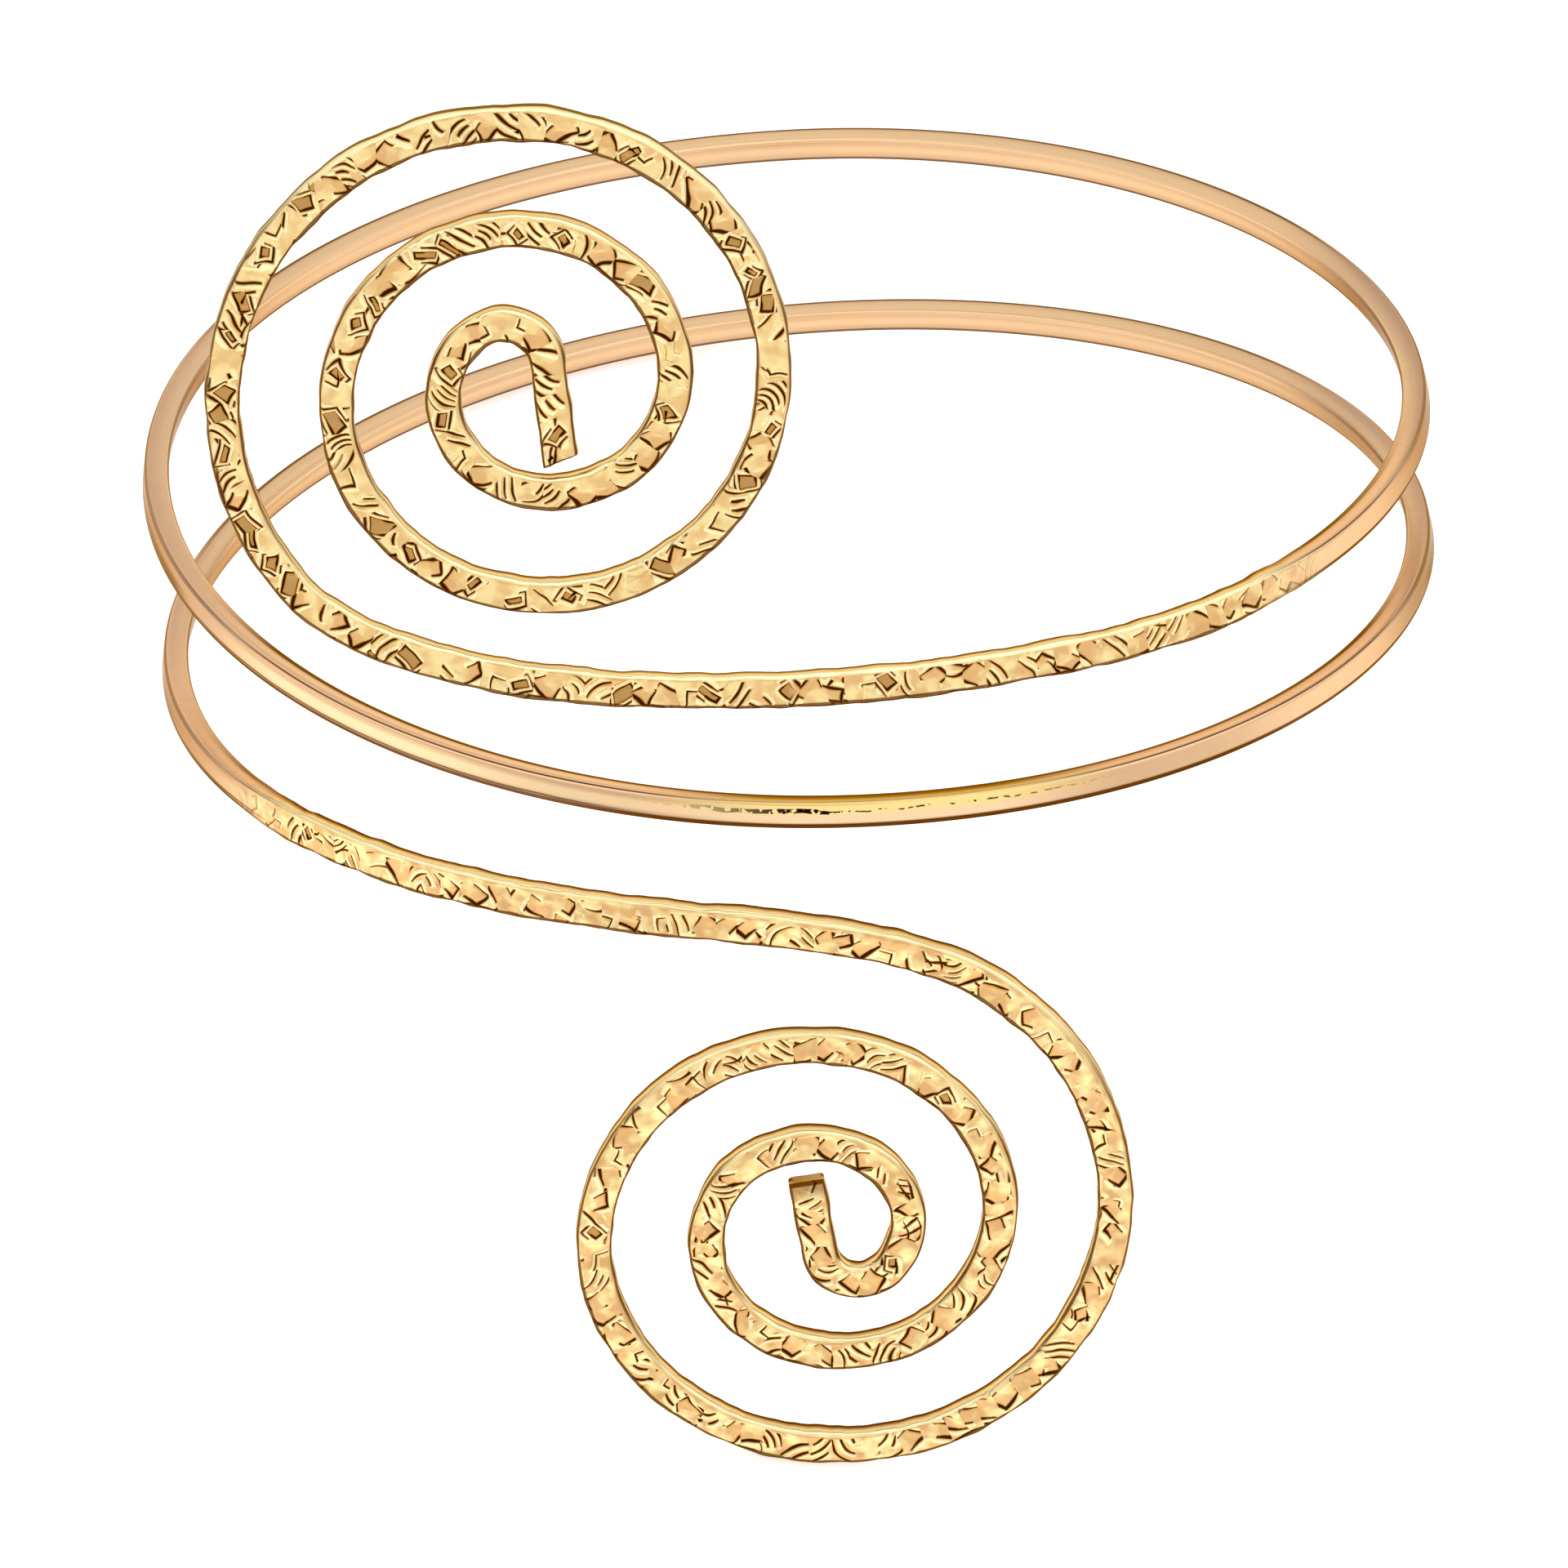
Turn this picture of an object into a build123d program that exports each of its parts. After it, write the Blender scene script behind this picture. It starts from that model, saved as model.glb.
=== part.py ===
from build123d import *
import os

import numpy as np

# A spiral coil arm cuff: one length of wire, two turns round the arm, and each end
# hammered flat and rolled into a disc that stands in front of the coil.
# Bracelet frame: x to the right in the front view, y to the back, z along the arm, with the
# origin in the middle of the coil. The finished part is turned out of that frame to the tilt
# at which it rests on a flat surface. Lengths are in mm, angles in degrees.

# Wire
PLAIN_WIDTH = 1.8  # along the arm
PLAIN_THICKNESS = 1.65  # away from the arm
PLAIN_CORNER = 0.3
UPPER_STRIP_WIDTH = 2.2  # of the hammered ends, across their flat face
LOWER_STRIP_WIDTH = 2.34
STRIP_THICKNESS = 1.35
STRIP_CORNER = 0.35

# Coil round the arm, between the middles of the wire
COIL_WIDTH = 84.0
COIL_DEPTH = 85.3
COIL_HEIGHT = 15.0
COIL_LIFT = 11  # how far the wire's outer face looks up, along the arm
# Turn from the front's middle, and the height there as a share of COIL_HEIGHT
COIL_STATIONS = (
    (40, 0.52),
    (90, 0.42),
    (180, 0.41),
    (270, 0.39),
    (360, 0.045),
    (450, -0.275),
    (540, -0.51),
    (630, -0.54),
    (670, -0.47),
)
PLAIN_FROM = 54  # turn at which the upper hammered end has faded into plain wire
PLAIN_TO = 656  # turn at which the lower hammered end starts
FADE = 14  # turn over which the hammering fades

# Upper disc: its outer radius, where its centre is, and how far its top leans back
UPPER_RADIUS = 19.2
UPPER_LEFT = 15.4
UPPER_RISE = 30.1
UPPER_SETBACK = 3.7  # behind the coil's front
UPPER_LEAN = 7.9
# Polar angle in the disc's plane, and the radius there as a share of UPPER_RADIUS
UPPER_TURNS = (
    (-630, 0.24),
    (-540, 0.29),
    (-450, 0.36),
    (-360, 0.455),
    (-270, 0.53),
    (-180, 0.635),
    (-90, 0.72),
    (0, 0.775),
    (90, 0.89),
    (180, 1.0),
    (270, 1.085),
)
UPPER_INNER_ANGLE = -586
UPPER_OUTER_ANGLE = 215

# Lower disc
LOWER_RADIUS = 18.9
LOWER_LEFT = 1.1
LOWER_DROP = 31.6
LOWER_SETBACK = 2.6
LOWER_LEAN = 3.1
LOWER_TURNS = (
    (-810, 0.27),
    (-720, 0.29),
    (-630, 0.32),
    (-540, 0.405),
    (-450, 0.5),
    (-360, 0.605),
    (-270, 0.7),
    (-180, 0.79),
    (-90, 0.88),
    (0, 1.0),
    (90, 1.13),
)
LOWER_INNER_ANGLE = -762
LOWER_OUTER_ANGLE = 55

# Inner end of each disc: a tight hook and a straight tail
UPPER_HOOK_RADIUS = 2.8
UPPER_HOOK_TURN = 125
UPPER_TAIL = 6.4
LOWER_HOOK_RADIUS = 2.55
LOWER_HOOK_TURN = 130
LOWER_TAIL = 5.4

# How strongly each lead between a disc and the coil holds its direction at its two ends
UPPER_LEAD_AT_DISC = 42.5
UPPER_LEAD_AT_COIL = 52.5
LOWER_LEAD_AT_COIL = 70.0
LOWER_LEAD_AT_DISC = 32.0

# Sections lofted along each run of the wire
TAIL_SECTIONS = 2
HOOK_SECTIONS = 6
DISC_SECTIONS = 32
LEAD_SECTIONS = 8
COIL_SECTIONS = 30

# Tilt to the resting surface that the search for the lowest centre of mass starts from,
# and how far it searches each way
REST_SIDEWAYS = 8
REST_BACK = 26
REST_SPAN = 9
REST_FINE = 0.002

# The wire's outline is measured at this many times the lofted sections
OUTLINE_FINER = 8
NUDGE = 1e-4  # share of a run over which the direction of its centre line is measured


def unit(vector):
    return vector / np.linalg.norm(vector)


def between(table, at):
    """The value at a station, on a smooth curve through the rows of a table."""
    stations = [row[0] for row in table]
    values = [row[1] for row in table]
    last = len(table) - 1
    steps = [(values[i + 1] - values[i]) / (stations[i + 1] - stations[i]) for i in range(last)]

    def slope(i):
        if i in (0, last):
            return steps[0 if i == 0 else -1]
        before = stations[i] - stations[i - 1]
        after = stations[i + 1] - stations[i]
        return (steps[i - 1] * after + steps[i] * before) / (before + after)

    i = max(k for k in range(last) if stations[k] <= at or k == 0)
    span = stations[i + 1] - stations[i]
    t = (at - stations[i]) / span
    return (
        (2 * t**3 - 3 * t**2 + 1) * values[i]
        + (t**3 - 2 * t**2 + t) * span * slope(i)
        + (3 * t**2 - 2 * t**3) * values[i + 1]
        + (t**3 - t**2) * span * slope(i + 1)
    )


class Disc:
    """A flat spiral with a hooked inner end, in a plane that faces the front."""

    def __init__(self, centre, lean, radius, turns, angles, hook):
        lean = np.radians(lean)
        self.centre = np.array(centre)
        self.right = np.array([1.0, 0.0, 0.0])
        self.top = np.array([0.0, np.sin(lean), np.cos(lean)])
        self.face = np.array([0.0, -np.cos(lean), np.sin(lean)])
        self.radius = radius
        self.turns = turns
        self.inner_angle, self.outer_angle = angles
        self.hook_radius, self.hook_turn, self.tail = hook

    def place(self, flat):
        return self.centre + self.right * flat[0] + self.top * flat[1]

    def flat_turn(self, share):
        angle = self.inner_angle + share * (self.outer_angle - self.inner_angle)
        radius = self.radius * between(self.turns, angle)
        return radius * np.array([np.cos(np.radians(angle)), np.sin(np.radians(angle))])

    def turn_point(self, share):
        """From the hook, at 0, to the lead, at 1."""
        return self.place(self.flat_turn(share))

    def hook_point(self, turned):
        """The hook after it has turned by so many degrees, and the way it heads."""
        start = self.flat_turn(0)
        inward = unit(start - self.flat_turn(NUDGE))
        side = np.array([inward[1], -inward[0]])
        angle = np.radians(turned)
        point = start + self.hook_radius * (side * (1 - np.cos(angle)) + inward * np.sin(angle))
        return point, inward * np.cos(angle) + side * np.sin(angle)

    def end_point(self, share):
        """From the tail's tip, at 0, through the bend, at 1, to the first turn, at 2."""
        if share < 1:
            bend, heading = self.hook_point(self.hook_turn)
            return self.place(bend + heading * self.tail * (1 - share))
        return self.place(self.hook_point(self.hook_turn * (2 - share))[0])


upper = Disc(
    (-UPPER_LEFT, UPPER_SETBACK - COIL_DEPTH / 2, UPPER_RISE),
    UPPER_LEAN,
    UPPER_RADIUS,
    UPPER_TURNS,
    (UPPER_INNER_ANGLE, UPPER_OUTER_ANGLE),
    (UPPER_HOOK_RADIUS, UPPER_HOOK_TURN, UPPER_TAIL),
)
lower = Disc(
    (-LOWER_LEFT, LOWER_SETBACK - COIL_DEPTH / 2, -LOWER_DROP),
    LOWER_LEAN,
    LOWER_RADIUS,
    LOWER_TURNS,
    (LOWER_INNER_ANGLE, LOWER_OUTER_ANGLE),
    (LOWER_HOOK_RADIUS, LOWER_HOOK_TURN, LOWER_TAIL),
)


def coil_turn(share):
    first, last = COIL_STATIONS[0][0], COIL_STATIONS[-1][0]
    return first + share * (last - first)


def coil_point(share):
    turn = coil_turn(share)
    angle = np.radians(turn)
    return np.array(
        [
            COIL_WIDTH / 2 * np.sin(angle),
            -COIL_DEPTH / 2 * np.cos(angle),
            COIL_HEIGHT * between(COIL_STATIONS, turn),
        ]
    )


def outward(share):
    """The way the coil's outer face looks: away from the arm, and a little up along it."""
    angle, lift = np.radians(coil_turn(share)), np.radians(COIL_LIFT)
    level = unit(np.array([np.sin(angle) / COIL_WIDTH, -np.cos(angle) / COIL_DEPTH, 0.0]))
    return level * np.cos(lift) + np.array([0.0, 0.0, np.sin(lift)])


def lead_point(share, start, start_pull, end, end_pull):
    """A smooth lead from one point to another, each pull a direction times its strength."""
    return (
        (2 * share**3 - 3 * share**2 + 1) * start
        + (share**3 - 2 * share**2 + share) * start_pull
        + (3 * share**2 - 2 * share**3) * end
        + (share**3 - share**2) * end_pull
    )


upper_pull = UPPER_LEAD_AT_DISC * unit(upper.turn_point(1) - upper.turn_point(1 - NUDGE))
coil_top_pull = UPPER_LEAD_AT_COIL * unit(coil_point(NUDGE) - coil_point(0))
coil_foot_pull = LOWER_LEAD_AT_COIL * unit(coil_point(1) - coil_point(1 - NUDGE))
lower_pull = LOWER_LEAD_AT_DISC * unit(lower.turn_point(1 - NUDGE) - lower.turn_point(1))


def upper_lead_point(share):
    return lead_point(share, upper.turn_point(1), upper_pull, coil_point(0), coil_top_pull)


def lower_lead_point(share):
    return lead_point(share, coil_point(1), coil_foot_pull, lower.turn_point(1), lower_pull)


# Runs of the wire from the upper tail to the lower tail: the point at a share of the run,
# the way the flat face looks there, and the sections lofted along it
RUNS = (
    (lambda t: upper.end_point(t), lambda t: upper.face, TAIL_SECTIONS),
    (lambda t: upper.end_point(1 + t), lambda t: upper.face, HOOK_SECTIONS),
    (lambda t: upper.turn_point(t), lambda t: upper.face, DISC_SECTIONS),
    (upper_lead_point, lambda t: (1 - t) * upper.face + t * outward(0), LEAD_SECTIONS),
    (coil_point, outward, COIL_SECTIONS),
    (lower_lead_point, lambda t: (1 - t) * outward(1) + t * lower.face, LEAD_SECTIONS),
    (lambda t: lower.turn_point(1 - t), lambda t: lower.face, DISC_SECTIONS),
    (lambda t: lower.end_point(2 - t), lambda t: lower.face, HOOK_SECTIONS),
    (lambda t: lower.end_point(1 - t), lambda t: lower.face, TAIL_SECTIONS),
)
COIL_RUN = 4


def plainness(run, share):
    """0 where the wire is hammered flat, 1 where it is plain."""
    if run != COIL_RUN:
        return 0.0
    turn = coil_turn(share)
    t = min(max(min(turn - (PLAIN_FROM - FADE), PLAIN_TO + FADE - turn) / FADE, 0.0), 1.0)
    return t * t * (3 - 2 * t)


class Section:
    """The wire's section at a share of a run: where it is, how it stands and its sizes."""

    def __init__(self, run, share):
        point, face, _ = RUNS[run]
        near = share - NUDGE if share > 0.5 else share
        self.middle = point(share)
        self.along = unit(point(near + NUDGE) - point(near))
        self.face = unit(face(share) - self.along * np.dot(face(share), self.along))
        self.across = np.cross(self.face, self.along)
        plain = plainness(run, share)
        strip_width = UPPER_STRIP_WIDTH if run + share < COIL_RUN + 0.5 else LOWER_STRIP_WIDTH
        self.width = strip_width + plain * (PLAIN_WIDTH - strip_width)
        self.thickness = STRIP_THICKNESS + plain * (PLAIN_THICKNESS - STRIP_THICKNESS)
        self.corner = STRIP_CORNER + plain * (PLAIN_CORNER - STRIP_CORNER)


def sections(finer=1):
    """The wire's sections from tip to tip, closer together by a whole number of times."""
    made = []
    for run, (_, _, count) in enumerate(RUNS):
        steps = count * finer
        made += [Section(run, i / steps) for i in range(steps)]
    made.append(Section(len(RUNS) - 1, 1.0))
    return made


class Outline:
    """The whole wire as closely spaced sections, for its reach and its centre of mass."""

    def __init__(self, made):
        self.middle = np.array([s.middle for s in made])
        self.along = np.array([s.along for s in made])
        self.across = np.array([s.across for s in made])
        self.face = np.array([s.face for s in made])
        self.corner = np.array([s.corner for s in made])
        self.width = np.array([s.width for s in made]) - 2 * self.corner
        self.thickness = np.array([s.thickness for s in made]) - 2 * self.corner
        lengths = np.linalg.norm(np.diff(self.middle, axis=0), axis=1)
        area = (self.width + 2 * self.corner) * (self.thickness + 2 * self.corner)
        area = area - (4 - np.pi) * self.corner**2
        pieces = lengths * (area[1:] + area[:-1]) / 2
        middles = (self.middle[1:] + self.middle[:-1]) / 2
        self.length = lengths.sum()
        self.volume = pieces.sum()
        self.centre = (middles * pieces[:, None]).sum(axis=0) / pieces.sum()

    def reach(self, way):
        """How far the wire reaches in a direction, measured from the origin."""
        flat = np.abs(self.across @ way) * self.width / 2 + np.abs(self.face @ way) * self.thickness / 2
        round_part = self.corner * np.sqrt(np.maximum(1 - (self.along @ way) ** 2, 0))
        return (self.middle @ way + flat + round_part).max()

    def centre_height(self, up):
        """Height of the centre of mass over a surface that the wire stands on."""
        return self.centre @ up + self.reach(-up)


def tilted_up(sideways, back):
    """The upward direction in the bracelet frame, for a tilt to the side and one back."""
    side, lean = np.radians(sideways), np.radians(back)
    return np.array([np.sin(side), -np.sin(lean) * np.cos(side), np.cos(lean) * np.cos(side)])


def lowest(height, start, span):
    """Where a height is least within a span about a start, by golden section."""
    golden = (5**0.5 - 1) / 2
    low, high = start - span, start + span
    while high - low > REST_FINE:
        left, right = high - golden * (high - low), low + golden * (high - low)
        if height(left) < height(right):
            high = right
        else:
            low = left
    return (low + high) / 2


def rest_up(outline):
    """The tilt at rest, sideways and back, where the centre of mass lies lowest."""

    def back_for(sideways):
        return lowest(lambda back: outline.centre_height(tilted_up(sideways, back)), REST_BACK, REST_SPAN)

    sideways = lowest(
        lambda side: outline.centre_height(tilted_up(side, back_for(side))), REST_SIDEWAYS, REST_SPAN
    )
    return sideways, back_for(sideways)


outline = Outline(sections(OUTLINE_FINER))
rest_sideways, rest_back = rest_up(outline)
up = tilted_up(rest_sideways, rest_back)
# The bracelet keeps its front towards -y as it is laid on its rest
right = unit(np.array([1.0, 0.0, 0.0]) - up * up[0])
back = np.cross(up, right)
turned = np.array([right, back, up])
low_corner = np.array([-outline.reach(-axis) for axis in turned])
high_corner = np.array([outline.reach(axis) for axis in turned])
foot = (low_corner + high_corner) / 2
foot[2] = low_corner[2]
print("wire length", round(outline.length, 1), "mm, volume", round(outline.volume, 1), "mm3")
print("rest tilt", round(rest_sideways, 2), "sideways,", round(rest_back, 2), "back")

with BuildPart() as coil_wire:
    for section in sections():
        stand = Plane(
            origin=tuple(turned @ section.middle - foot),
            x_dir=tuple(turned @ section.across),
            z_dir=tuple(turned @ section.along),
        )
        with BuildSketch(stand):
            RectangleRounded(section.width, section.thickness, section.corner)
    loft()

coil_wire.part.label = "coil_wire"
os.makedirs("parts", exist_ok=True)
export_step(coil_wire.part, "parts/coil_wire.step")
print("solid volume", round(coil_wire.part.volume, 1), "mm3, box", coil_wire.part.bounding_box())
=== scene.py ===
import math
from functools import reduce

import bpy
import numpy as np
from mathutils import Matrix, Vector


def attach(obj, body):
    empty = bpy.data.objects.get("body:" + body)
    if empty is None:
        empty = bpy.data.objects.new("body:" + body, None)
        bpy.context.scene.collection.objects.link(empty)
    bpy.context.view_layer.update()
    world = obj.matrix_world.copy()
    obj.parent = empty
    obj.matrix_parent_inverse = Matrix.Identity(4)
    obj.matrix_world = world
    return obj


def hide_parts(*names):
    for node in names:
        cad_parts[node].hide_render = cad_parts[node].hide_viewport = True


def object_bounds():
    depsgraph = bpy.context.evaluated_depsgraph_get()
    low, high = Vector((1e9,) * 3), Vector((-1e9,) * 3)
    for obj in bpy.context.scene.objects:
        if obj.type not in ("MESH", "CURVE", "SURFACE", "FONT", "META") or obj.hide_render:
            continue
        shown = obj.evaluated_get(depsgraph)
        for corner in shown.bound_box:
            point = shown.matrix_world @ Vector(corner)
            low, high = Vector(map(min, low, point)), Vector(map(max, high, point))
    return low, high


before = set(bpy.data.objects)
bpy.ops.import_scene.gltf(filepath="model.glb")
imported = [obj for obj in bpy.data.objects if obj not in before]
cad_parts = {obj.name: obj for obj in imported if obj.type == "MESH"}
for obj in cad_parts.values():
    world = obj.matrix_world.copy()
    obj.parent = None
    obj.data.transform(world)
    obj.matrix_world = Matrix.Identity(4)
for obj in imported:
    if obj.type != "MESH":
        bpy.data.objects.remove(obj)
cad_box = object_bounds()

# A spiral coil arm cuff of one gold wire: two plain turns round the arm, and each end hammered
# flat and rolled into a disc. The wire is worked out here in millimetres, in the bracelet's own
# frame: x to the right, y to the back, z along the arm, from the middle of the coil. It is then
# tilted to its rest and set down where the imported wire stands, in metres.
MM = 0.001

# Wire
PLAIN_WIDTH = 1.8  # along the arm
PLAIN_THICKNESS = 1.65  # away from the arm
PLAIN_CORNER = 0.3
UPPER_STRIP_WIDTH = 2.2  # of the hammered ends, across their flat face
LOWER_STRIP_WIDTH = 2.34
STRIP_THICKNESS = 1.35
STRIP_CORNER = 0.35
TIP_LENGTH = 1.5  # over which the upper tail's tip is cut askew
UPPER_TIP_SLANT = 0.3

# Coil round the arm, between the middles of the wire
COIL_WIDTH = 84.0
COIL_DEPTH = 85.3
COIL_HEIGHT = 15.0
COIL_LIFT = 11  # how far the wire's outer face looks up, along the arm
# Turn from the front's middle, and the height there as a share of COIL_HEIGHT
COIL_STATIONS = (
    (40, 0.52),
    (90, 0.42),
    (180, 0.41),
    (270, 0.39),
    (360, 0.045),
    (450, -0.275),
    (540, -0.51),
    (630, -0.54),
    (670, -0.47),
)
PLAIN_FROM = 54  # turn at which the upper hammered end has faded into plain wire
PLAIN_TO = 656  # turn at which the lower hammered end starts
FADE = 14  # turn over which the hammering fades

# Upper disc: its outer radius, where its centre is, and how far its top leans back
UPPER_RADIUS = 19.2
UPPER_LEFT = 15.4
UPPER_RISE = 30.1
UPPER_SETBACK = 3.7  # behind the coil's front
UPPER_LEAN = 7.9
# Polar angle in the disc's plane, and the radius there as a share of UPPER_RADIUS
UPPER_TURNS = (
    (-630, 0.24),
    (-540, 0.29),
    (-450, 0.36),
    (-360, 0.455),
    (-270, 0.53),
    (-180, 0.635),
    (-90, 0.72),
    (0, 0.775),
    (90, 0.89),
    (180, 1.0),
    (270, 1.085),
)
UPPER_ANGLES = (-586, 215)  # where the first turn leaves the hook, and the last one the disc

# Lower disc
LOWER_RADIUS = 18.9
LOWER_LEFT = 1.1
LOWER_DROP = 31.6
LOWER_SETBACK = 2.6
LOWER_LEAN = 3.1
LOWER_TURNS = (
    (-810, 0.27),
    (-720, 0.29),
    (-630, 0.32),
    (-540, 0.405),
    (-450, 0.5),
    (-360, 0.605),
    (-270, 0.7),
    (-180, 0.79),
    (-90, 0.88),
    (0, 1.0),
    (90, 1.13),
)
LOWER_ANGLES = (-762, 55)

# Inner end of each disc: a tight hook's radius and its turn, and a straight tail
UPPER_HOOK = (2.8, 125, 6.4)
LOWER_HOOK = (2.55, 130, 5.4)

# How strongly each lead between a disc and the coil holds its direction at its two ends
UPPER_LEAD_PULLS = (42.5, 52.5)
LOWER_LEAD_PULLS = (70.0, 32.0)

# Tilt at which the cuff rests
REST_SIDEWAYS = 8.35
REST_BACK = 25.31

NUDGE = 1e-4  # share of a run over which the direction of its middle line is measured
FINE_SHARES = 2000  # steps in which a run is first measured
MARKED_FROM = 0.5  # how far up a rounded corner the face's marks start, as a sine


def unit(vectors):
    return vectors / np.linalg.norm(vectors, axis=-1, keepdims=True)


def curved(t, start, start_slope, end, end_slope):
    """From a start at 0 to an end at 1, with a given slope at each."""
    return (
        (2 * t**3 - 3 * t**2 + 1) * start
        + (t**3 - 2 * t**2 + t) * start_slope
        + (3 * t**2 - 2 * t**3) * end
        + (t**3 - t**2) * end_slope
    )


def between(table, at):
    """The values at some stations, on a smooth curve through the rows of a table."""
    stations, values = np.array(table, float).T
    spans = np.diff(stations)
    steps = np.diff(values) / spans
    inner = (steps[:-1] * spans[1:] + steps[1:] * spans[:-1]) / (spans[1:] + spans[:-1])
    slopes = np.concatenate([steps[:1], inner, steps[-1:]])
    i = np.clip(np.searchsorted(stations, at, side="right") - 1, 0, len(spans) - 1)
    t, span = (at - stations[i]) / spans[i], spans[i]
    return curved(t, values[i], span * slopes[i], values[i + 1], span * slopes[i + 1])


class Disc:
    """A flat spiral with a hooked inner end, in a plane that faces the front."""

    def __init__(self, centre, lean, radius, turns, angles, hook):
        lean = math.radians(lean)
        self.centre = np.array(centre)
        self.right = np.array([1.0, 0.0, 0.0])
        self.top = np.array([0.0, math.sin(lean), math.cos(lean)])
        self.face = np.array([0.0, -math.cos(lean), math.sin(lean)])
        self.radius = radius
        self.turns = turns
        self.inner_angle, self.outer_angle = angles
        self.hook_radius, self.hook_turn, self.tail = hook

    def place(self, flat):
        return self.centre + flat[..., :1] * self.right + flat[..., 1:] * self.top

    def flat_turn(self, shares):
        angles = self.inner_angle + shares * (self.outer_angle - self.inner_angle)
        radii = self.radius * between(self.turns, angles)
        angles = np.radians(angles)
        return np.stack([radii * np.cos(angles), radii * np.sin(angles)], -1)

    def turn_point(self, shares):
        """From the hook, at 0, to the lead, at 1."""
        return self.place(self.flat_turn(shares))

    def hook_point(self, turned):
        """The hook after it has turned by so many degrees, and the way it heads."""
        start, beyond = self.flat_turn(np.array([0.0, NUDGE]))
        inward = unit(start - beyond)
        side = np.array([inward[1], -inward[0]])
        sine = np.sin(np.radians(turned))[..., None]
        cosine = np.cos(np.radians(turned))[..., None]
        point = start + self.hook_radius * (side * (1 - cosine) + inward * sine)
        return point, inward * cosine + side * sine

    def bend_point(self, shares):
        """From the tail, at 0, round the hook to the first turn, at 1."""
        return self.place(self.hook_point(self.hook_turn * (1 - shares))[0])

    def tail_point(self, shares):
        """From the tail's tip, at 0, to the hook, at 1."""
        bend, onwards = self.hook_point(np.array([float(self.hook_turn)]))
        return self.place(bend + onwards * self.tail * (1 - shares[..., None]))


upper = Disc(
    (-UPPER_LEFT, UPPER_SETBACK - COIL_DEPTH / 2, UPPER_RISE),
    UPPER_LEAN,
    UPPER_RADIUS,
    UPPER_TURNS,
    UPPER_ANGLES,
    UPPER_HOOK,
)
lower = Disc(
    (-LOWER_LEFT, LOWER_SETBACK - COIL_DEPTH / 2, -LOWER_DROP),
    LOWER_LEAN,
    LOWER_RADIUS,
    LOWER_TURNS,
    LOWER_ANGLES,
    LOWER_HOOK,
)


def coil_turn(shares):
    first, last = COIL_STATIONS[0][0], COIL_STATIONS[-1][0]
    return first + shares * (last - first)


def coil_point(shares):
    turns = coil_turn(shares)
    angles = np.radians(turns)
    x = COIL_WIDTH / 2 * np.sin(angles)
    y = -COIL_DEPTH / 2 * np.cos(angles)
    return np.stack([x, y, COIL_HEIGHT * between(COIL_STATIONS, turns)], -1)


def outward(shares):
    """The way the coil's outer face looks: away from the arm, and a little up along it."""
    angles, lift = np.radians(coil_turn(shares)), math.radians(COIL_LIFT)
    level = [np.sin(angles) / COIL_WIDTH, -np.cos(angles) / COIL_DEPTH, 0 * angles]
    level = unit(np.stack(level, -1))
    return level * math.cos(lift) + np.array([0.0, 0.0, math.sin(lift)])


def heading(point, share, nudge):
    """The direction of a run of the wire at a share of it, measured over a nudge."""
    here, there = point(np.array([share, share + nudge]))
    return unit((there - here) * math.copysign(1, nudge))


def end_of(point, share):
    return point(np.array([float(share)]))[0]


# The leads between the discs and the coil, each pull a direction times its strength
def upper_lead_point(shares):
    start_pull = UPPER_LEAD_PULLS[0] * heading(upper.turn_point, 1.0, -NUDGE)
    end_pull = UPPER_LEAD_PULLS[1] * heading(coil_point, 0.0, NUDGE)
    start, end = end_of(upper.turn_point, 1), end_of(coil_point, 0)
    return curved(shares[..., None], start, start_pull, end, end_pull)


def lower_lead_point(shares):
    start_pull = LOWER_LEAD_PULLS[0] * heading(coil_point, 1.0, -NUDGE)
    end_pull = -LOWER_LEAD_PULLS[1] * heading(lower.turn_point, 1.0, -NUDGE)
    start, end = end_of(coil_point, 1), end_of(lower.turn_point, 1)
    return curved(shares[..., None], start, start_pull, end, end_pull)


def turned_from(first, last):
    """The way a flat face looks along a run that turns it from one direction to another."""
    return lambda shares: (1 - shares[..., None]) * first + shares[..., None] * last


def steady(face):
    return lambda shares: np.broadcast_to(face, shares.shape + (3,))


def hammered(shares):
    return 0 * shares


def coil_plainness(shares):
    """0 where the coil's wire is hammered flat, 1 where it is plain."""
    turns = coil_turn(shares)
    t = np.clip(np.minimum(turns - (PLAIN_FROM - FADE), PLAIN_TO + FADE - turns) / FADE, 0, 1)
    return t * t * (3 - 2 * t)


# Runs of the wire from the upper tail to the lower tail: the point at a share of the run, the
# way the flat face looks there, and how plain the wire is
first_out, last_out = outward(np.array([0.0, 1.0]))
RUNS = (
    (upper.tail_point, steady(upper.face), hammered),
    (upper.bend_point, steady(upper.face), hammered),
    (upper.turn_point, steady(upper.face), hammered),
    (upper_lead_point, turned_from(upper.face, first_out), hammered),
    (coil_point, outward, coil_plainness),
    (lower_lead_point, turned_from(last_out, lower.face), hammered),
    (lambda t: lower.turn_point(1 - t), steady(lower.face), hammered),
    (lambda t: lower.bend_point(1 - t), steady(lower.face), hammered),
    (lambda t: lower.tail_point(1 - t), steady(lower.face), hammered),
)
UPPER_LEAD_RUN, LOWER_TURN_RUN = 3, 6  # counted from 0


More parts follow.
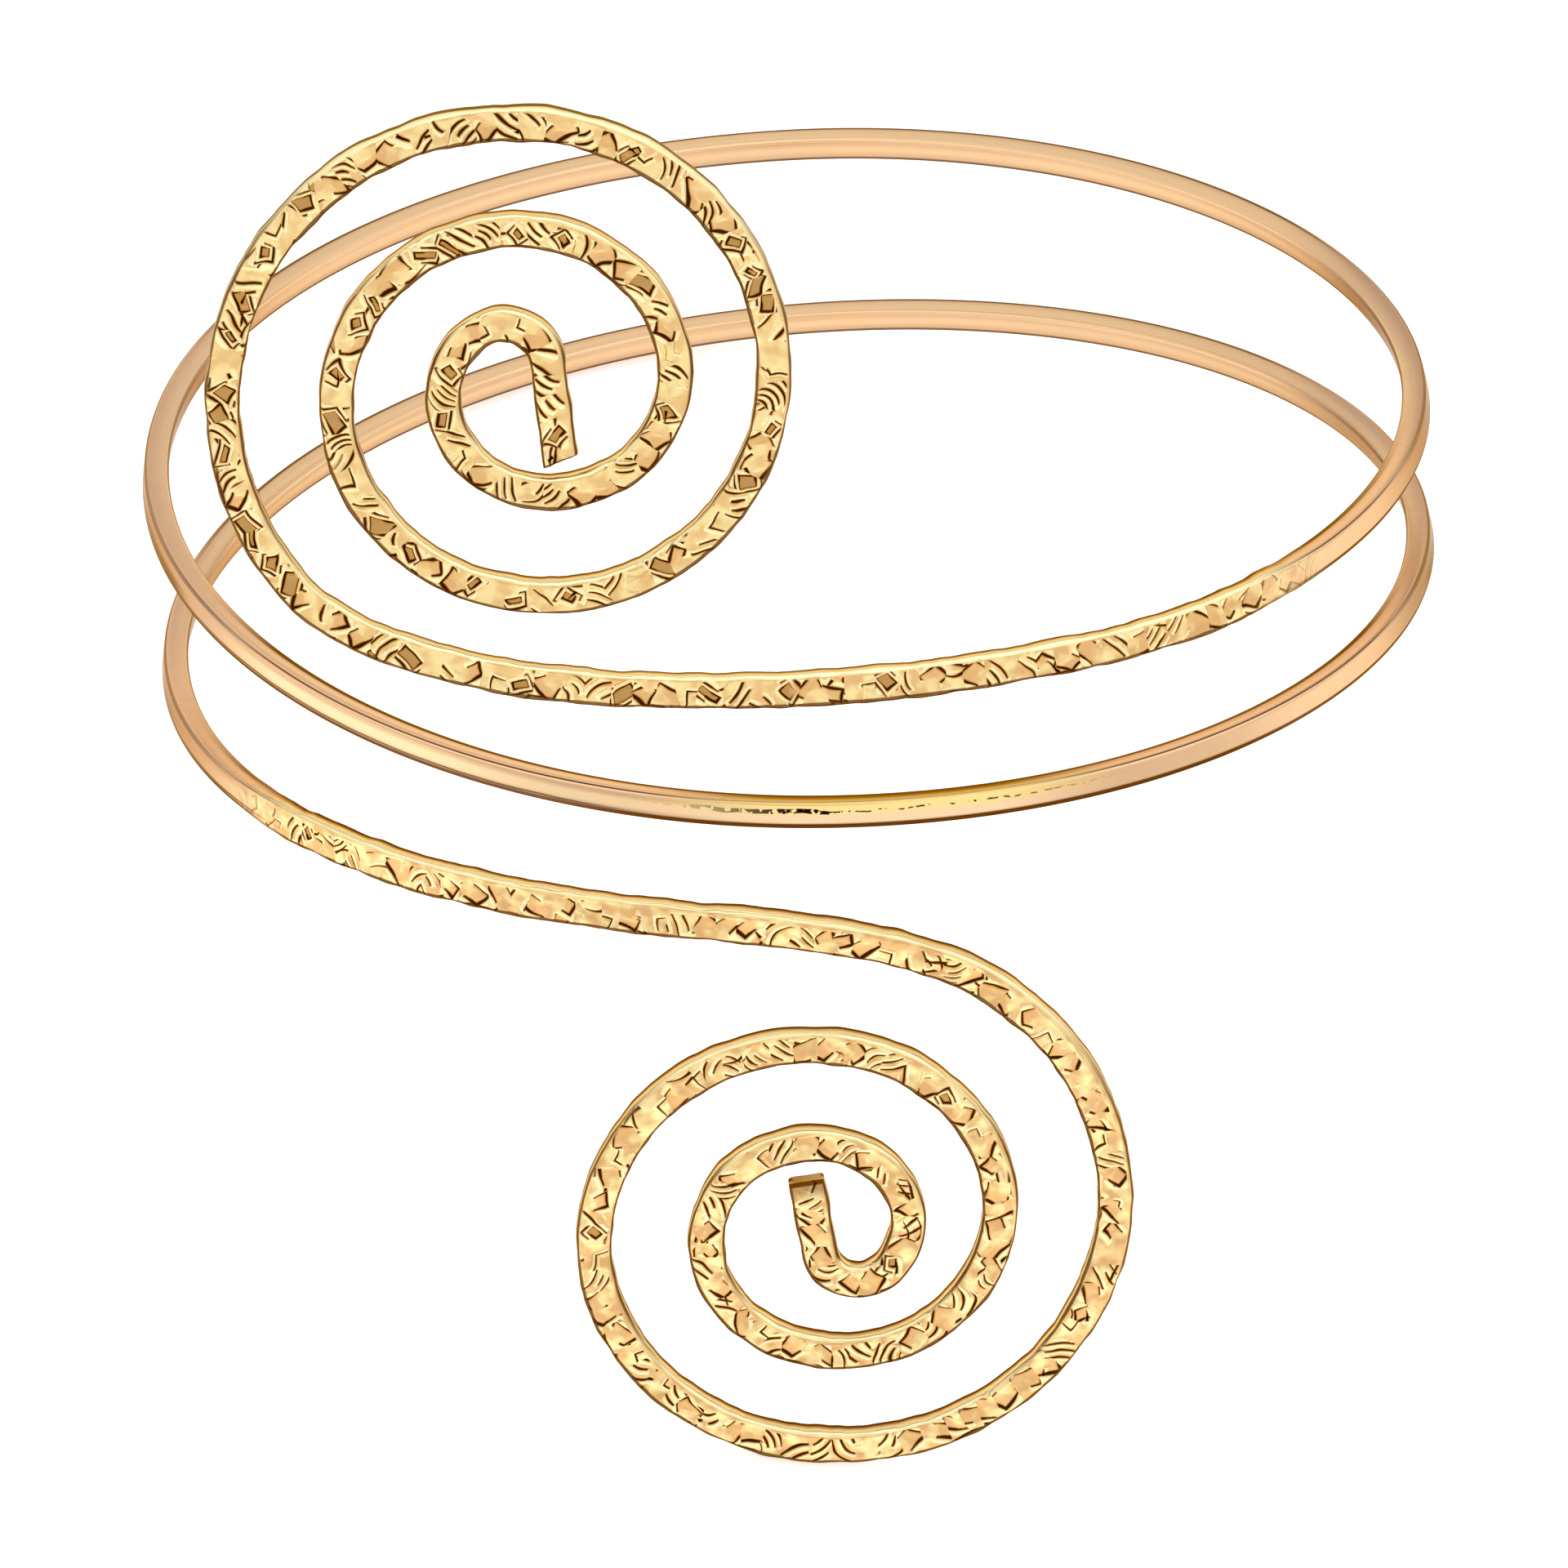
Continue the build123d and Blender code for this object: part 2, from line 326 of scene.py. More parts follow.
class Wire:
    """The wire's middle line, evenly divided, with its frame and sizes at each ring."""

    def __init__(self, step):
        middles, faces, plain = [], [], []
        for point, face, plainness in RUNS:
            fine = np.linspace(0, 1, FINE_SHARES + 1)
            steps = np.linalg.norm(np.diff(point(fine), axis=0), axis=1)
            reached = np.concatenate([[0], np.cumsum(steps)])
            count = max(2, round(reached[-1] / step))
            shares = np.interp(np.linspace(0, reached[-1], count + 1), reached, fine)
            if point is not RUNS[-1][0]:
                shares = shares[:-1]
            middles.append(point(shares))
            faces.append(face(shares))
            plain.append(plainness(shares))
        self.run_starts = np.concatenate([[0], np.cumsum([len(points) for points in middles])])
        self.middle = np.concatenate(middles)
        self.plain = plain = np.concatenate(plain)
        self.along = unit(np.gradient(self.middle, axis=0))
        face = np.concatenate(faces)
        self.face = unit(face - self.along * (face * self.along).sum(-1, keepdims=True))
        self.across = np.cross(self.face, self.along)
        steps = np.linalg.norm(np.diff(self.middle, axis=0), axis=1)
        self.length = np.concatenate([[0], np.cumsum(steps)])
        upper_half = self.length < self.length[-1] / 2
        strip_width = np.where(upper_half, UPPER_STRIP_WIDTH, LOWER_STRIP_WIDTH)
        self.width = strip_width + plain * (PLAIN_WIDTH - strip_width)
        self.thickness = STRIP_THICKNESS + plain * (PLAIN_THICKNESS - STRIP_THICKNESS)
        self.corner = STRIP_CORNER + plain * (PLAIN_CORNER - STRIP_CORNER)


def rest_axes():
    """The tilt out of the bracelet's frame, as rows right, back and up."""
    side, lean = math.radians(REST_SIDEWAYS), math.radians(REST_BACK)
    level = math.cos(side)
    up = np.array([math.sin(side), -math.sin(lean) * level, math.cos(lean) * level])
    right = unit(np.array([1.0, 0.0, 0.0]) - up * up[0])
    return np.array([right, np.cross(up, right), up])


turned = rest_axes()


def section_outline(face_steps, corner_steps, side_steps, back_steps):
    """Signs and angles round the wire's section, from its left wall over the face and back.

    Each row: sideways sign of the corner's centre, its sign towards the face, and the angle of
    the point round that corner. Across a flat the signs run from one corner's to the next."""
    rows = []
    quarters = ((-1, 1, 180, 90), (1, 1, 90, 0), (1, -1, 0, -90), (-1, -1, -90, -180))
    flats = (face_steps, side_steps, back_steps, side_steps)
    for k, (across, face, start, end) in enumerate(quarters):
        next_across, next_face = quarters[(k + 1) % 4][:2]
        for i in range(corner_steps + 1):
            rows.append((across, face, start + (end - start) * i / corner_steps))
        for i in range(1, flats[k]):
            t = i / flats[k]
            rows.append((across + t * (next_across - across), face + t * (next_face - face), end))
    return np.array(rows, float)


def sweep(wire, r, outline):
    """The points of some rings of the wire, their normals, and the labels that the finish reads.

    strip: mm along the wire and across its face, and the share of the face's marks there
    section: how far round a corner, how hammered the wire is, and how near a flat's middle
    stance: how much the surface looks across the wire and outwards, and its depth in the wire
    edge: the way across the wire to the nearer edge"""
    corner = wire.corner[r, None]
    across_share, face_share, angle = outline.T
    angle = np.radians(angle)
    sideways = across_share * (wire.width[r, None] / 2 - corner) + corner * np.cos(angle)
    outwards = face_share * (wire.thickness[r, None] / 2 - corner) + corner * np.sin(angle)
    points = (
        wire.middle[r, None]
        + sideways[..., None] * wire.across[r, None]
        + outwards[..., None] * wire.face[r, None]
    )
    normals = (
        np.cos(angle)[None, :, None] * wire.across[r, None]
        + np.sin(angle)[None, :, None] * wire.face[r, None]
    )
    on_face = np.clip((np.sin(angle) - MARKED_FROM) / (1 - MARKED_FROM), 0, 1)
    on_face = on_face * (face_share > 0)
    beaten = np.broadcast_to(1 - wire.plain[r, None], sideways.shape)
    strip = [np.broadcast_to(wire.length[r, None], sideways.shape), sideways, on_face * beaten]
    middle = 1 - np.minimum(np.abs(across_share), np.abs(face_share))
    section = [np.abs(np.sin(2 * angle)), beaten, middle]
    stance = [np.cos(angle), np.sin(angle), face_share]
    strip, section, stance = [
        np.stack([np.broadcast_to(part, sideways.shape) for part in parts], -1)
        for parts in (strip, section, stance)
    ]
    tip = np.clip(1 - wire.length[r, None] / TIP_LENGTH, 0, 1) ** 2
    points = points - (UPPER_TIP_SLANT * sideways * tip)[..., None] * wire.along[r, None]
    edge = np.sign(sideways)[..., None] * wire.across[r, None]
    return points, normals, {"strip": strip, "section": section, "stance": stance, "edge": edge}


RING_STEP = 0.095  # between rings along the wire
COIL_STRIDE = 5  # in rings, between those that the plain coil keeps
# Points across the face, round each corner, down each side and across the back
OUTLINE = section_outline(20, 4, 3, 6)

wire = Wire(RING_STEP)
plain_rings = np.flatnonzero(wire.plain == 1)
upper_leaves = wire.run_starts[UPPER_LEAD_RUN]
lower_enters = wire.run_starts[LOWER_TURN_RUN]
# Each stretch of the wire: its first and last ring, and the stride between those it keeps
STRETCHES = {
    "upper_disc": (0, upper_leaves, 1),
    "upper_lead": (upper_leaves, plain_rings[0], 1),
    "plain_coil": (plain_rings[0], plain_rings[-1], COIL_STRIDE),
    "lower_lead": (plain_rings[-1], lower_enters, 1),
    "lower_disc": (lower_enters, len(wire.middle) - 1, 1),
}


def footprint_middle(low, high):
    """The middle of a box's underside."""
    return np.array([(low[0] + high[0]) / 2, (low[1] + high[1]) / 2, low[2]])


def rest_shift():
    """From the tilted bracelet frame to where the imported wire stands."""
    points = sweep(wire, np.arange(len(wire.middle)), OUTLINE)[0].reshape(-1, 3) @ turned.T * MM
    return footprint_middle(*cad_box) - footprint_middle(points.min(0), points.max(0))


shift = rest_shift()


def to_rest(point):
    """A point of the bracelet frame, in mm, where it lies at rest, in metres."""
    return turned @ np.array(point) * MM + shift


def stretch_mesh(name, first, last, stride):
    """One stretch of the wire as a closed mesh, with its labels at every point."""
    rings = np.unique(np.append(np.arange(first, last, stride), last))
    points, normals, labelled = sweep(wire, rings, OUTLINE)
    count = len(OUTLINE)
    ring, spot = np.meshgrid(np.arange(len(rings) - 1), np.arange(count), indexing="ij")
    near, far = ring * count + spot, ring * count + (spot + 1) % count
    walls = np.stack([near, near + count, far + count, far], -1).reshape(-1, 4)
    last_ring = (len(rings) - 1) * count
    caps = [list(range(count)), list(range(last_ring + count - 1, last_ring - 1, -1))]
    mesh = bpy.data.meshes.new(name)
    mesh.from_pydata(points.reshape(-1, 3) @ turned.T * MM + shift, [], walls.tolist() + caps)
    mesh.polygons.foreach_set("use_smooth", [True] * len(walls) + [False] * len(caps))
    labelled["outwards"] = normals @ turned.T
    labelled["edge"] = labelled["edge"] @ turned.T
    for label, values in labelled.items():
        attribute = mesh.attributes.new(label, "FLOAT_VECTOR", "POINT")
        attribute.data.foreach_set("vector", values.astype(np.float32).ravel())
    in_rim = np.zeros(len(mesh.vertices), bool)
    in_rim[:count] = in_rim[last_ring:] = True
    ends = np.array([edge.vertices[:] for edge in mesh.edges])
    sharp = mesh.attributes.new("sharp_edge", "BOOLEAN", "EDGE")
    sharp.data.foreach_set("value", in_rim[ends].all(axis=1))
    return mesh


class Wiring:
    """Short ways to add and join the nodes of a material, a world or a geometry tree."""

    def __init__(self, tree):
        self.tree = tree

    def add(self, kind, inputs=(), **settings):
        node = self.tree.nodes.new(kind)
        for name, value in settings.items():
            setattr(node, name, value)
        for key, value in dict(inputs).items():
            self.put(node.inputs[key], value)
        return node

    def put(self, socket, value):
        if isinstance(value, bpy.types.NodeSocket):
            self.tree.links.new(value, socket)
        else:
            socket.default_value = value

    def math(self, operation, *values):
        return self.add("ShaderNodeMath", enumerate(values), operation=operation).outputs[0]

    def plus(self, *values):
        return reduce(lambda first, second: self.math("ADD", first, second), values)

    def times(self, *values):
        return reduce(lambda first, second: self.math("MULTIPLY", first, second), values)

    def most(self, *values):
        return reduce(lambda first, second: self.math("MAXIMUM", first, second), values)

    def minus(self, first, second):
        return self.math("SUBTRACT", first, second)

    def over(self, first, second):
        return self.math("DIVIDE", first, second)

    def size(self, value):
        return self.math("ABSOLUTE", value)

    def rest(self, share):
        """What a share leaves of the whole."""
        return self.minus(1.0, share)

    def rise(self, value, low, high):
        """0 below one value and 1 above another, smooth between them."""
        inputs = {"Value": value, "From Min": low, "From Max": high}
        return self.add("ShaderNodeMapRange", inputs, interpolation_type="SMOOTHSTEP").outputs[0]

    def fall(self, value, low, high):
        return self.rest(self.rise(value, low, high))

    def near(self, value, middle, inner, outer):
        """1 close to a middle value and 0 far from it, on either side."""
        return self.fall(self.size(self.minus(value, middle)), inner, outer)

    def chosen(self, luck, share):
        """1 for such a share of the random numbers, 0 for the others."""
        return self.fall(luck, share, self.plus(share, 0.01))

    def blend(self, share, first, second):
        """A number between two others."""
        return self.plus(first, self.times(share, self.minus(second, first)))

    def colour(self, share, first, second):
        """A colour between two others."""
        node = self.add("ShaderNodeMix", data_type="RGBA")
        self.put(node.inputs[0], share)
        self.put(node.inputs[6], first)
        self.put(node.inputs[7], second)
        return node.outputs[2]

    def layers(self, colour, *coats):
        """A colour under several coats, each a share that covers and the coat's colour."""
        for share, coat in coats:
            colour = self.colour(share, colour, coat)
        return colour

    def vector(self, x, y, z=0.0):
        return self.add("ShaderNodeCombineXYZ", {"X": x, "Y": y, "Z": z}).outputs[0]

    def parts(self, vector):
        return tuple(self.add("ShaderNodeSeparateXYZ", {"Vector": vector}).outputs)

    def noise(self, place, scale, detail=2.0, roughness=0.5):
        inputs = {"Vector": place, "Scale": scale, "Detail": detail, "Roughness": roughness}
        return self.add("ShaderNodeTexNoise", inputs).outputs[0]

    def cells(self, place, scatter):
        inputs = {"Vector": place, "Scale": 1.0, "Randomness": scatter}
        return self.add("ShaderNodeTexVoronoi", inputs, voronoi_dimensions="2D").outputs

    def chances(self, place):
        """Three random numbers that are the same for the same place."""
        noise = self.add("ShaderNodeTexWhiteNoise", {"Vector": place}, noise_dimensions="2D")
        return self.parts(noise.outputs["Color"])


def wiring_of(owner):
    """The wiring of a material or a world, with an empty tree."""
    owner.use_nodes = True
    owner.node_tree.nodes.clear()
    return Wiring(owner.node_tree)


# Hammer marks, in mm on the strip
MARKS_SEED = 8.0
MARKED_HALF = 1.12  # of the strip's width
STRAY = (0.8, 0.5, 0.4)  # of the marks along it, across it, and in how near its edge they come
MARGINS = (0.05, 0.32)  # without marks, along an edge's rough side and its smooth side
LEAD_MARGIN = 0.1  # more of it on the lower lead
BLOW_SPACING = 1.5  # along the strip, between the middles of two blows
BLOW_ROW = 3.2  # across it
BLOW_SCATTER = 0.6  # how unevenly the blows follow each other
BLOW_SPREAD = 0.3  # how far a blow's middle strays across the strip, as a share of the row
BLOW_SLOPES = (0.3, 1.1)  # in radians, one way or the other
BLOW_HALF_LENGTHS = (0.55, 1.05)
BLOW_HALF_WIDTHS = (0.42, 0.74)
BLOW_TAPER = 1.1
BLOW_ROUNDING = 0.09
LINE = 0.064  # half the width of a mark's dark edge
FLANK_ENDS = 0.12  # of the amber beside it
# Ends of the burr, painted pale as a highlight
BURR_ENDS = (0.20, 0.42)
RIM = 0.29  # between the edge of a blow struck twice and its inner edge
STRENGTHS = (0.95, 1.15)  # of the lines, elsewhere and on the upper disc
UNEVEN_STRENGTHS = (0.85, 1.15)  # the same from patch to patch
# Strokes that lie side by side
STROKE_SLOPES = (0.5, 1.15)
STROKE_GAPS = (0.42, 0.70)
STROKE_HALF_LENGTHS = (0.4, 1.15)
STROKE_SHIFT = 0.8  # how far each lies off the others' middle, in all
STROKE_BOW = 0.9
STROKE_ROOM = (0.75, 1.0)  # across the group, on either side of its middle
BEND = 0.9
BENT_ROOM = 0.35

# Strokes on their own: one in each cell of so much along the strip and across it, half their
# length, half their width, how far they slope in all, and the share of the cells with one
LONG_STROKES = {
    "spacing": 3.6,
    "row": 0.9,
    "lengths": (0.6, 1.8),
    "half_width": 0.078,
    "slope": 0.6,
    "share": 0.48,
}
WEDGES = {
    "spacing": 2.4,
    "row": 1.25,
    "lengths": (0.2, 0.6),
    "half_width": 0.08,
    "slope": 2.0,
    "share": 0.42,
}
LONE_SCATTER = 0.5
LONE_BOW = 0.8

# Shares of the marks
BLOWS = 0.52  # that are four-sided blows, the others being strokes side by side
TWICE = 0.03  # of the blows that are struck twice
TWICE_ON_UPPER_DISC = 0.42
WEDGED = 0.3  # of the blows that wedges lie over
CROSSED = 0.22  # of the strokes side by side that long strokes cross
STRAIGHT = 0.70  # of the strokes side by side that aren't bent
STRUCK = 0.85  # of the places side by side that hold a stroke

# Places along the wire, in mm from the upper tip, over which something starts or ends
# Painted highlight on the upper disc's outer rim
RIM_HIGHLIGHT_STARTS = (95.0, 110.0)
RIM_HIGHLIGHT_ENDS = (172.0, 182.0)
UPPER_DISC_ENDS = (195.0, 240.0)
LOWER_LEAD_STARTS = (690.0, 705.0)
LOWER_LEAD_ENDS = (765.0, 785.0)


def nearest(w, s, t, spacing, row, scatter, spread, seed):
    """How far a place on the strip is from the nearest blow's middle, and that blow's luck."""
    place = w.vector(w.plus(w.over(s, spacing), seed), w.plus(w.over(t, row), scatter / 2))
    cell = w.cells(place, scatter)
    away = w.add("ShaderNodeVectorMath", {0: place, 1: cell["Position"]}, operation="SUBTRACT")
    strayed = w.minus(w.parts(cell["Position"])[1], scatter / 2)
    y = w.minus(t, w.times(strayed, row * spread))
    return w.times(w.parts(away.outputs[0])[0], spacing), y, w.parts(cell["Color"])


def turned_by(w, x, y, angle):
    cosine, sine = w.math("COSINE", angle), w.math("SINE", angle)
    along = w.plus(w.times(x, cosine), w.times(y, sine))
    return along, w.minus(w.times(y, cosine), w.times(x, sine))


def either_way(w, luck):
    """1 or -1, by a random number."""
    return w.math("SIGN", w.minus(luck, 0.5))


def bowed(w, u, v, luck, bow):
    """A stroke's line bent to one side by a random number."""
    return w.plus(v, w.times(u, u, w.minus(luck, 0.5), bow))


def four_sided(w, x, y, luck, more):
    """How far a place lies outside the edge of a four-sided blow, below 0 within it."""
    u, v = turned_by(w, x, y, w.times(either_way(w, more[2]), w.blend(luck[1], *BLOW_SLOPES)))
    u = w.times(u, w.plus(1.0, w.times(v, w.minus(more[0], 0.5), BLOW_TAPER)))
    u = w.minus(w.size(u), w.blend(more[1], *BLOW_HALF_LENGTHS))
    v = w.minus(w.size(v), w.blend(luck[0], *BLOW_HALF_WIDTHS))
    return w.math("SMOOTH_MAX", u, v, BLOW_ROUNDING)


def drawn(w, off, half, reach):
    """A stroke's dark line, its amber flanks, and the burr beside them, painted pale as a
    highlight on one side only.
    """
    wide = w.size(off)
    beyond = w.minus(wide, half)
    line = w.times(w.fall(w.over(wide, half), 0.7, 1.3), w.fall(reach, -0.03, 0.03))
    flank = w.times(w.fall(beyond, 0.0, FLANK_ENDS), w.fall(reach, 0.0, 0.08))
    lit_burr = w.times(w.fall(beyond, *BURR_ENDS), w.fall(reach, 0.04, 0.18))
    # The burr's painted highlight lies on one side of the line only
    return line, flank, w.times(lit_burr, w.rise(off, -0.02, 0.02))


def side_by_side(w, x, y, luck, half_line):
    """Up to three strokes side by side across the strip, or one or two bent in the middle."""
    more = w.chances(w.vector(luck[1], luck[0]))
    u, v = turned_by(w, x, y, w.times(either_way(w, luck[1]), w.blend(more[1], *STROKE_SLOPES)))
    bent = w.rest(w.chosen(more[0], STRAIGHT))
    v = w.plus(v, w.times(w.size(u), bent, BEND))
    v = bowed(w, u, v, more[2], STROKE_BOW)
    gap = w.blend(more[2], *STROKE_GAPS)
    number = w.math("ROUND", w.over(v, gap))
    chance = w.chances(w.vector(number, w.times(luck[2], 50.0)))
    along = w.size(w.plus(u, w.times(w.minus(chance[0], 0.5), STROKE_SHIFT)))
    length = w.blend(chance[1], *STROKE_HALF_LENGTHS)
    taper = w.minus(1.1, w.times(0.45, w.math("MINIMUM", w.over(along, length), 1.0)))
    room = w.blend(bent, w.blend(luck[0], *STROKE_ROOM), BENT_ROOM)
    there = w.times(w.fall(w.minus(w.size(v), room), 0.0, 0.01), w.chosen(chance[2], STRUCK))
    off = w.minus(v, w.times(number, gap))
    marks = drawn(w, off, w.times(half_line, taper), w.minus(along, length))
    return [w.times(there, mark) for mark in marks]


def lone_strokes(w, s, t, seed, spacing, row, lengths, half_width, slope, share):
    """Strokes on their own, thick at one end, each with its own slope and length."""
    x, y, luck = nearest(w, s, t, spacing, row, LONE_SCATTER, 1.0, seed)
    u, v = turned_by(w, x, y, w.times(w.minus(luck[1], 0.5), slope))
    v = bowed(w, u, v, luck[2], LONE_BOW)
    length = w.blend(luck[2], *lengths)
    taper = w.plus(0.75, w.times(0.5, w.over(u, length)))
    marks = drawn(w, v, w.times(half_width, w.most(taper, 0.2)), w.minus(w.size(u), length))
    return [w.times(w.chosen(luck[0], share), mark) for mark in marks]


def hammer_marks(w, strip, edge, seed):
    """Where the hammer's marks lie on the strip: their dark edges, burrs painted as highlights,
    floors with painted shade, and pits.
    """
    along, across, share = w.parts(strip)
    noise = w.add("ShaderNodeTexNoise", {"Vector": strip, "Scale": 0.6, "Detail": 0.5})
    stray = [
        w.times(w.minus(part, 0.5), far) for part, far in zip(w.parts(noise.outputs[1]), STRAY)
    ]
    s, t = w.plus(along, stray[0]), w.plus(across, stray[1])
    on_upper_disc = w.fall(along, *UPPER_DISC_ENDS)
    on_lower_lead = w.times(w.rise(along, *LOWER_LEAD_STARTS), w.fall(along, *LOWER_LEAD_ENDS))
    edge_right, _, edge_up = w.parts(edge)
    smooth_side = w.rise(w.plus(w.times(edge_up, 0.85), w.times(edge_right, 0.5)), 0.1, 0.8)
    lead_margin = w.times(on_lower_lead, smooth_side, LEAD_MARGIN)
    margin = w.plus(w.blend(smooth_side, *MARGINS), lead_margin)
    from_edge = w.minus(w.minus(MARKED_HALF, w.size(across)), stray[2])
    inside = w.times(w.rise(w.minus(from_edge, margin), 0.0, 0.1), share)
    strong = w.rise(w.noise(strip, 0.45, 1.0), 0.4, 0.6)
    strength = w.times(w.blend(on_upper_disc, *STRENGTHS), w.blend(strong, *UNEVEN_STRENGTHS))
    half_line = w.times(strength, LINE)

    x, y, luck = nearest(w, s, t, BLOW_SPACING, BLOW_ROW, BLOW_SCATTER, BLOW_SPREAD, seed)
    more = w.chances(w.vector(luck[0], luck[1]))
    side = w.chances(w.vector(luck[1], luck[2]))
    is_blow = w.chosen(luck[2], BLOWS)
    is_strokes = w.rest(is_blow)
    twice = w.chosen(side[1], w.blend(on_upper_disc, TWICE, TWICE_ON_UPPER_DISC))
    out = four_sided(w, x, y, luck, more)
    inner = w.plus(out, RIM)
    away = w.math("SQRT", w.plus(w.times(x, x), w.times(y, y), 0.0001))
    # 1 on the side of a blow where the hammer bit deepest, -1 on the other
    towards = w.over(turned_by(w, x, y, w.times(side[0], 2 * math.pi))[0], away)
    deep = w.blend(w.rise(towards, 0.0, 0.95), 0.7, 1.4)
    half = w.times(half_line, deep, w.blend(twice, 1.0, 0.7))
    inner_half = w.times(half_line, w.blend(w.rise(towards, -0.6, 0.6), 0.9, 0.2))
    line, flank, lit_burr = drawn(w, out, half, w.minus(-0.45, towards))
    inner_line, inner_flank, _ = drawn(w, inner, inner_half, -1.0)
    stroke, stroke_flank, stroke_burr = side_by_side(w, x, y, luck, half_line)
    long_line, long_flank, long_burr = lone_strokes(w, s, t, seed, **LONG_STROKES)
    wedge, wedge_flank, wedge_burr = lone_strokes(w, s, t, seed, **WEDGES)

    clear = w.rest(w.times(is_blow, w.fall(out, 0.06, 0.12)))
    off_strokes = w.rest(w.times(is_strokes, w.fall(away, 0.75, 0.9)))
    clear_of_most = w.times(w.most(clear, w.chosen(side[2], WEDGED)), off_strokes)
    quiet = w.times(clear, w.rest(w.times(is_strokes, w.rest(w.chosen(side[0], CROSSED)))))

    def inside_of(blow, twice_struck, strokes, long_ones, wedges):
        own = w.times(is_blow, w.most(blow, w.times(twice, twice_struck)))
        lone = w.most(w.times(quiet, long_ones), w.times(clear_of_most, wedges))
        return w.times(inside, w.most(own, w.times(is_strokes, strokes), lone))

    ring = w.times(w.fall(out, -LINE, 0.0), w.rise(inner, 0.0, LINE))
    # Painted shade over a blow's floor, darker towards its deeper side
    shaded_slant = w.blend(w.rise(towards, -0.9, 0.7), 0.15, 1.0)
    return {
        "line": inside_of(line, inner_line, stroke, long_line, 0.0),
        "flank": inside_of(flank, inner_flank, stroke_flank, long_flank, wedge_flank),
        "rim": inside_of(lit_burr, ring, stroke_burr, w.times(long_burr, 0.6), wedge_burr),
        "floor": w.times(inside, shaded_slant, is_blow, w.rest(twice), w.fall(out, -0.05, 0.0)),
        "pit": w.times(inside, is_blow, twice, w.fall(inner, -0.03, 0.03)),
        "wedge": w.times(inside, clear_of_most, wedge),
        "from_edge": from_edge,
        "share": share,
        "on_upper_disc": on_upper_disc,
    }


# How far the marks stand up or sink in, and how uneven the whole strip is, in mm
RELIEF_SIZES = {
    "Rim height": 0.05,
    "Floor depth": 0.06,
    "Line depth": 0.03,
    "Waviness": 0.42,
    "Seed": MARKS_SEED,
}


def relief_tree():
    """Raises and sinks the strip's face by the hammer's marks."""
    tree = bpy.data.node_groups.new("hammered_relief", "GeometryNodeTree")
    face = tree.interface
    face.new_socket("Geometry", in_out="INPUT", socket_type="NodeSocketGeometry")
    for name in RELIEF_SIZES:
        face.new_socket(name, in_out="INPUT", socket_type="NodeSocketFloat")
    face.new_socket("Geometry", in_out="OUTPUT", socket_type="NodeSocketGeometry")
    w = Wiring(tree)
    given = w.add("NodeGroupInput").outputs
    attribute = "GeometryNodeInputNamedAttribute"
    strip, section, outwards, edge = (
        w.add(attribute, {"Name": label}, data_type="FLOAT_VECTOR").outputs[0]
        for label in ("strip", "section", "outwards", "edge")
    )
    marks = hammer_marks(w, strip, edge, given["Seed"])
    raised = w.times(marks["rim"], given["Rim height"])
    sunk = w.times(w.plus(marks["floor"], marks["pit"]), given["Floor depth"])
    cut = w.times(marks["flank"], given["Line depth"])
    beaten = w.parts(section)[1]
    uneven = w.times(w.minus(w.noise(strip, 0.4, 1.5), 0.5), given["Waviness"], beaten)
    height = w.times(w.plus(w.minus(w.minus(raised, sunk), cut), uneven), MM)
    offset = w.add("ShaderNodeVectorMath", {0: outwards, "Scale": height}, operation="SCALE")
    inputs = {"Geometry": given[0], "Offset": offset.outputs[0]}
    moved = w.add("GeometryNodeSetPosition", inputs).outputs[0]
    whole = w.add("GeometryNodeRealizeInstances", {"Geometry": moved}).outputs[0]
    finish = w.add("GeometryNodeSetMaterial", {"Geometry": whole, "Material": gold})
    w.put(w.add("NodeGroupOutput").inputs[0], finish.outputs[0])
    return tree


# Finish colours, as linear red, green and blue
PEACH = (0.70, 0.435, 0.235, 1)
PEACH_SHADE = (0.59, 0.365, 0.205, 1)
# Painted light on the plain wire
PAINTED_PEACH_LIGHT = (0.90, 0.64, 0.36, 1)
# Painted reflection band on the plain wire
PAINTED_REFLECTION_PEACH = (0.80, 0.50, 0.29, 1)
# Painted highlight and painted dark reflection on the plain wire's front
HIGHLIGHT_YELLOW = (1.0, 0.75, 0.30, 1)
DARK_REFLECTION_GOLD = (0.29, 0.125, 0.009, 1)
# Painted shade low on the plain wire's front, right of the middle
LOW_SHADE_GOLD = (0.17, 0.07, 0.006, 1)
# Painted highlight on the plain wire's front and upper corners
HIGHLIGHT_PEACH = (1.0, 0.69, 0.41, 1)
# Painted shade on the plain wire: at the sides, darker at the right side, and on the front's
# right
SHADED_SIDE_PEACH = (0.64, 0.415, 0.27, 1)
SHADED_RIGHT_PEACH = (0.48, 0.315, 0.22, 1)
SHADED_FACE_TAN = (0.78, 0.50, 0.28, 1)
LIGHT_GOLD = (0.85, 0.55, 0.23, 1)
YELLOW_GOLD = (0.98, 0.76, 0.35, 1)
# Pale gold for the painted highlights on burrs, rims and upward corners
PALE_GOLD = (1.0, 0.88, 0.50, 1)
TAN = (0.76, 0.45, 0.185, 1)
OLIVE = (0.50, 0.29, 0.10, 1)
AMBER = (0.53, 0.225, 0.015, 1)
